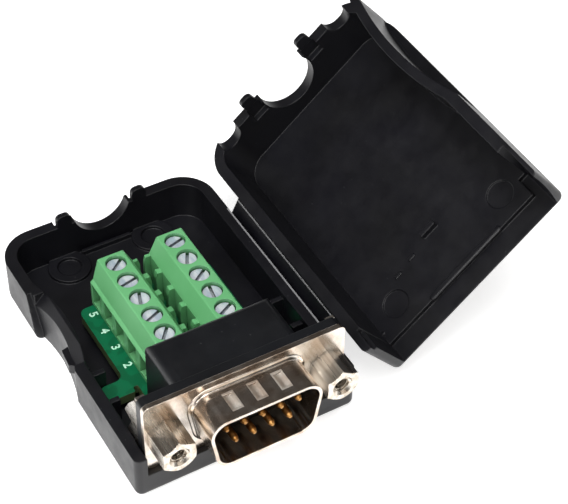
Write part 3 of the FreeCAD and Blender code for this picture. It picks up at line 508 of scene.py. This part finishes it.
# %% Shroud foot
SHROUD_TOP = 17.9
SHROUD_HIGH = 9.2
SHROUD_SLOPE = math.radians(10)
SHROUD_CORNER = 2.6
DRAWN_RADIUS = 0.6
FOOT_SUNK = 0.03
ARC_STEPS = 8


def d_outline():
    """Points of the D outline about the plug's axis, each with its outward direction."""
    top = SHROUD_TOP / 2
    bottom = top - SHROUD_HIGH * math.tan(SHROUD_SLOPE)
    corners = [Vector((top, SHROUD_HIGH / 2)), Vector((-top, SHROUD_HIGH / 2)),
               Vector((-bottom, -SHROUD_HIGH / 2)), Vector((bottom, -SHROUD_HIGH / 2))]
    outline = []
    for i, corner in enumerate(corners):
        before = (corners[i - 1] - corner).normalized()
        after = (corners[(i + 1) % 4] - corner).normalized()
        half = before.angle(after) / 2
        centre = corner + (before + after).normalized() * SHROUD_CORNER / math.sin(half)
        side = -1 if before.cross(after) > 0 else 1
        first = math.atan2(side * before.x, -side * before.y)
        sweep = math.pi - 2 * half
        for k in range(ARC_STEPS + 1):
            at = first + sweep * k / ARC_STEPS
            out = Vector((math.cos(at), math.sin(at)))
            outline.append((centre + out * SHROUD_CORNER, out))
    return outline


def shroud_foot(bm):
    """Quarter-round band between the shroud and the flange, closed by a corner sunk in the metal."""
    rings = []
    for point, out in d_outline():
        section = [(-FOOT_SUNK, -FOOT_SUNK)]
        for k in range(ARC_STEPS + 1):
            at = math.pi / 2 * k / ARC_STEPS
            section.append((DRAWN_RADIUS * (1 - math.sin(at)), DRAWN_RADIUS * (1 - math.cos(at))))
        ring = []
        for aside, forward in section:
            spot = point + out * aside
            ring.append(bm.verts.new(Vector((spot.x, FACE_Y - forward, AXIS_Z + spot.y)) * MM))
        rings.append(ring)
    for here, there in zip(rings, rings[1:] + rings[:1]):
        for k in range(len(here)):
            follow = (k + 1) % len(here)
            bm.faces.new((here[k], here[follow], there[follow], there[k]))


piece("shroud_foot", mesh_of(shroud_foot), shell_nickel, "base")

# %% [markdown]
# ## Threads in the screwlocks
#
# Each screwlock takes a 4-40 screw, whose pitch is 0.635 mm. A spiral curve with a three-sided
# profile follows the bore's wall, which Geometry Nodes make from four sizes. The same tree serves
# both sides: for each it is evaluated, made a plain mesh and set into the bore.

# %% Thread tree
THREAD_PITCH = 0.635
BORE_RADIUS = 1.2
THREAD_TURNS = 7
THREAD_RIDGE = 0.24
THREAD_SUNK = 0.04
THREAD_INSET = 0.35
LOCK_SPACING = 24.99

thread_sizes = {"Radius": (BORE_RADIUS + THREAD_SUNK) * MM, "Height": THREAD_PITCH * THREAD_TURNS * MM,
                "Turns": float(THREAD_TURNS), "Ridge": THREAD_RIDGE * MM}
threads, start, end = node_group("bore_thread", **thread_sizes)
spiral = add(threads, "GeometryNodeCurveSpiral", Resolution=24, Rotations=start.outputs["Turns"],
             Start_Radius=start.outputs["Radius"], End_Radius=start.outputs["Radius"],
             Height=start.outputs["Height"])
section = add(threads, "GeometryNodeCurvePrimitiveCircle", Resolution=3, Radius=start.outputs["Ridge"])
ridge = add(threads, "GeometryNodeCurveToMesh", Curve=spiral, Profile_Curve=section, Fill_Caps=True)
solid = add(threads, "GeometryNodeRealizeInstances", Geometry=ridge)
painted = add(threads, "GeometryNodeSetMaterial", Geometry=solid, Material=lock_nickel)
threads.links.new(painted.outputs[0], end.inputs["Geometry"])


def grown(group, **values):
    """Plain mesh that the group makes from nothing but its sizes."""
    seed = bpy.data.objects.new("seed", bpy.data.meshes.new("seed"))
    bpy.context.scene.collection.objects.link(seed)
    give(seed, group, **values)
    graph = bpy.context.evaluated_depsgraph_get()
    mesh = bpy.data.meshes.new_from_object(seed.evaluated_get(graph))
    bpy.data.objects.remove(seed)
    return mesh


print("thread of %d turns at %.3f mm" % (THREAD_TURNS, THREAD_PITCH))

# %% Set the threads into both bores
lock_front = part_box("left_screwlock")[0][1] / MM
for side, sign in (("left", -1), ("right", 1)):
    coil = grown(threads, **thread_sizes)
    into_bore = Matrix.Translation(Vector((sign * LOCK_SPACING / 2, lock_front + THREAD_INSET, AXIS_Z)) * MM)
    coil.transform(into_bore @ Matrix.Rotation(math.radians(-90), 4, "X"))
    piece(side + "_screwlock_thread", coil, lock_nickel, "base")

# %% [markdown]
# ## Pole numbers on the board
#
# The pole numbers are printed in white ink on the strip of board beside each block, turned so
# that their heads point at the block. Text objects give the figures, and their meshes are laid a
# hundredth of a millimetre above the mask, as thick as a coat of ink.

# %% Pole numbers
FIGURE_SIZE = 1.8
FIGURE_BOLD = 0.045
INK_THICK = 0.02
INK_LIFT = 0.01
MARGIN_X = 9.1
left_poles = {"5": 6.66, "4": 2.92, "3": -0.69, "2": -4.54}
right_poles = {"9": 6.66, "8": 2.92, "7": -0.69, "6": -4.54}


def figure_mesh(text):
    """Flat mesh of one figure, centred on the origin and facing up."""
    curve = bpy.data.curves.new("figure", "FONT")
    curve.body = text
    curve.size = FIGURE_SIZE * MM
    curve.offset = FIGURE_BOLD * MM
    curve.extrude = INK_THICK / 2 * MM
    curve.resolution_u = 4
    curve.align_x = "CENTER"
    curve.align_y = "CENTER"
    obj = bpy.data.objects.new("figure", curve)
    bpy.context.scene.collection.objects.link(obj)
    graph = bpy.context.evaluated_depsgraph_get()
    mesh = bpy.data.meshes.new_from_object(obj.evaluated_get(graph))
    bpy.data.objects.remove(obj)
    return mesh


def pole_numbers(bm):
    """All the figures, each turned and laid beside its block."""
    for sign, poles in ((-1, left_poles), (1, right_poles)):
        for text, y in poles.items():
            mesh = figure_mesh(text)
            place = Vector((sign * MARGIN_X, y, DECK_Z + INK_THICK / 2 + INK_LIFT)) * MM
            lay = Matrix.Translation(place)
            mesh.transform(lay @ Matrix.Rotation(math.radians(90 * sign), 4, "Z"))
            bm.from_mesh(mesh)


piece("board_numbers", mesh_of(pole_numbers), number_ink, "base")

# %% [markdown]
# ## Small forms on the cover's ceiling
#
# Near the plug's end the ceiling carries a low rib with round ends, and a few small pips lie
# further in. Both are lower than the gap over the plug's hood, so the case still shuts. They are
# drawn as they lie on the shut case and turned open with it: the two hinges' own axes and ranges
# give that turn.

# %% Ceiling forms
CEILING_Z = 16.2
FORM_DROP = 0.085
FORM_SUNK = 0.02
ROUND_STEPS = 10
RIB_X = -0.55
RIB_BEHIND_FACE = 3.2
RIB_LENGTH = 14.5
RIB_WIDTH = 1.15
RIB_FLANK = 0.22
PIP_PLACES = ((4.7, 10.6), (7.9, 10.1), (15.5, 5.0))
PIP_LENGTH = 1.5
PIP_WIDTH = 0.7
PIP_FLANK = 0.12


def turned(joint):
    """Turn that opens the joint from its lower limit to rest, about its own axis."""
    at = Vector(joint["pos_m"])
    angle = math.radians(-joint["range_deg"][0])
    return Matrix.Translation(at) @ Matrix.Rotation(angle, 4, "Y") @ Matrix.Translation(-at)


opened = turned(joints["cover_fold"]) @ turned(joints["strip_fold"])


def ring(centre, length, width):
    """Corners of a bar with round ends, length along X."""
    half = length / 2 - width / 2
    rim = []
    for side in (1, -1):
        for k in range(ROUND_STEPS + 1):
            at = math.radians(-90 + 180 * k / ROUND_STEPS) + (0 if side > 0 else math.pi)
            rim.append((centre[0] + side * half + width / 2 * math.cos(at),
                        centre[1] + width / 2 * math.sin(at)))
    return rim


def low_bar(bm, centre, length, width, flank):
    """Low bar under the ceiling, with flanks that slope over that width."""
    top = ring(centre, length - 2 * flank, width - 2 * flank)
    foot = ring(centre, length, width)
    free = [bm.verts.new(opened @ (Vector((x, y, CEILING_Z - FORM_DROP)) * MM)) for x, y in top]
    held = [bm.verts.new(opened @ (Vector((x, y, CEILING_Z + FORM_SUNK)) * MM)) for x, y in foot]
    bm.faces.new(free)
    bm.faces.new(list(reversed(held)))
    for k in range(len(top)):
        follow = (k + 1) % len(top)
        bm.faces.new((free[k], held[k], held[follow], free[follow]))


def ceiling_rib(bm):
    """The one long rib, across the case behind the flange."""
    low_bar(bm, (RIB_X, FACE_Y + RIB_BEHIND_FACE), RIB_LENGTH, RIB_WIDTH, RIB_FLANK)


def ceiling_pips(bm):
    """The small pips, each at its place across and behind the flange."""
    for across, behind in PIP_PLACES:
        low_bar(bm, (across, FACE_Y + behind), PIP_LENGTH, PIP_WIDTH, PIP_FLANK)


piece("cover_rib", mesh_of(ceiling_rib), case_black, "cover")
piece("cover_pips", mesh_of(ceiling_pips), case_black, "cover")

# %% [markdown]
# ## Floor and room
#
# The floor is a wide white sheet, and to the camera the background is plain white. The floor's
# glow is there for the camera and for mirrored rays alone, so it lights nothing and keeps the
# object's shadow. Upright black walls mirror the floor at a shallow angle, which is what makes
# them grey, while the room above is dim and slightly warm, so black tops stay black and nickel
# shows warm patches. The ramp runs from the horizon to the zenith.

# %% Floor
FLOOR_GLOW = 0.7
FLOOR_HALF = 3.0
FLOOR_DROP = 0.02 * MM


def floor_sheet():
    """Matt white sheet that also glows to the camera and in mirrors."""
    mat, tree, shader = new_material("floor_white")
    shader.inputs["Base Color"].default_value = linear("#ebebeb")
    shader.inputs["Roughness"].default_value = 0.9
    glow = add(tree, "ShaderNodeEmission", Color=(1, 1, 1, 1), Strength=FLOOR_GLOW)
    dark = add(tree, "ShaderNodeEmission", Color=(0, 0, 0, 1), Strength=0.0)
    rays = add(tree, "ShaderNodeLightPath")
    either = add(tree, "ShaderNodeMath", {"operation": "MAXIMUM"}, _0=rays.outputs["Is Camera Ray"],
                 _1=rays.outputs["Is Glossy Ray"])
    seen = add(tree, "ShaderNodeMixShader", _0=either, _1=dark, _2=glow)
    both = add(tree, "ShaderNodeAddShader", _0=shader, _1=seen)
    out = next(node for node in tree.nodes if node.type == "OUTPUT_MATERIAL")
    tree.links.new(both.outputs[0], out.inputs["Surface"])
    return mat


def floor_square(bm):
    """One wide square, a hair below the object."""
    spots = ((-1, -1), (1, -1), (1, 1), (-1, 1))
    bm.faces.new([bm.verts.new((x * FLOOR_HALF, y * FLOOR_HALF, -FLOOR_DROP)) for x, y in spots])


floor_mesh = mesh_of(floor_square)
floor_mesh.materials.append(floor_sheet())
floor = bpy.data.objects.new("floor", floor_mesh)
bpy.context.scene.collection.objects.link(floor)
print("floor of %.0f m" % (2 * FLOOR_HALF))

# %% Room
room_light = [(0.0, linear("#dcdcdd")), (0.16, linear("#9a9a9a")), (0.38, linear("#48443f")),
              (0.75, linear("#413d3a")), (1.0, linear("#8a8a8b"))]
world = bpy.data.worlds.new("studio")
bpy.context.scene.world = world
world.use_nodes = True
tree = world.node_tree
tree.nodes.clear()
direction = add(tree, "ShaderNodeTexCoord").outputs["Generated"]
towards_sky = add(tree, "ShaderNodeSeparateXYZ", Vector=direction)
dome = add(tree, "ShaderNodeValToRGB", {"stops": room_light}, Fac=towards_sky.outputs["Z"])
room = add(tree, "ShaderNodeBackground", Color=dome, Strength=1.0)
white = add(tree, "ShaderNodeBackground", Color=(1, 1, 1, 1), Strength=1.0)
mix = add(tree, "ShaderNodeMixShader", _0=add(tree, "ShaderNodeLightPath").outputs["Is Camera Ray"],
          _1=room, _2=white)
add(tree, "ShaderNodeOutputWorld", Surface=mix)
print("room of %d tones" % len(room_light))

# %% [markdown]
# ## Light
#
# Three soft panels light the object at a plain level: the key from the left, a broad one overhead
# and a little in front, and a weak warm fill from the front. Each prints how brightly it lights a
# surface that faces it, where one would show a colour just as it is written.

# %% Light panels
def panel(name, place, size, power, colour):
    """Soft rectangular lamp that faces the object, with its place and size in metres."""
    light = bpy.data.lights.new(name, "AREA")
    light.shape = "RECTANGLE"
    light.size, light.size_y = size
    light.energy = power
    light.color = linear(colour)[:3]
    obj = bpy.data.objects.new(name, light)
    obj.location = place
    obj.rotation_euler = Vector(place).to_track_quat("Z", "Y").to_euler()
    bpy.context.scene.collection.objects.link(obj)
    level = power / (math.pi ** 2 * Vector(place).length_squared)
    print("%s lights a facing surface to %.2f" % (name, level))


panel("key_left", place=(-0.32, -0.10, 0.28), size=(0.22, 0.28), power=0.85, colour="#ffffff")
panel("top_soft", place=(-0.08, -0.12, 0.45), size=(0.36, 0.36), power=1.9, colour="#ffffff")
panel("front_fill", place=(0.10, -0.42, 0.18), size=(0.30, 0.20), power=0.2, colour="#fff2e2")
bpy.context.scene.view_settings.view_transform = "Standard"

# %% [markdown]
# ## Camera
#
# The camera was fitted to points of the case and the plug whose real places are known: its turn
# about Z, its height above the horizon, its roll and its focal length in pixels of a 568 by 504
# picture. The aim is a point on its axis, measured from the middle of the flange's front.

# %% Camera at the photograph's angle
CAMERA_TURN = math.radians(-30.939)
CAMERA_RISE = math.radians(45.127)
CAMERA_ROLL = math.radians(1.257)
CAMERA_AIM = (3.644, -2.549, 27.783)
CAMERA_AWAY = 209.83
FOCAL_PIXELS = 1701.41
CENTRE_PIXELS = (282.5, 255.07)
PICTURE = (568, 504)
SENSOR = 36.0
NEAREST = 0.01

back = Vector((math.sin(CAMERA_TURN) * math.cos(CAMERA_RISE),
               -math.cos(CAMERA_TURN) * math.cos(CAMERA_RISE),
               math.sin(CAMERA_RISE)))
level = (-back).cross(Vector((0, 0, 1))).normalized()
upward = level.cross(-back)
camera_x = math.cos(CAMERA_ROLL) * level + math.sin(CAMERA_ROLL) * upward
camera_y = -math.sin(CAMERA_ROLL) * level + math.cos(CAMERA_ROLL) * upward
aim = Vector((CAMERA_AIM[0], CAMERA_AIM[1] + FACE_Y, CAMERA_AIM[2] + AXIS_Z)) * MM
lens = bpy.data.cameras.new("camera")
camera = bpy.data.objects.new("camera", lens)
bpy.context.scene.collection.objects.link(camera)
camera.matrix_world = Matrix.Translation(aim + back * CAMERA_AWAY * MM) @ Matrix(
    (camera_x, camera_y, back)).transposed().to_4x4()
lens.sensor_width = SENSOR
lens.lens = FOCAL_PIXELS * SENSOR / PICTURE[0]
lens.shift_x = (PICTURE[0] / 2 - CENTRE_PIXELS[0]) / PICTURE[0]
lens.shift_y = (CENTRE_PIXELS[1] - PICTURE[1] / 2) / PICTURE[0]
lens.clip_start = NEAREST
bpy.context.scene.camera = camera
print("camera at", [round(v, 4) for v in camera.location])
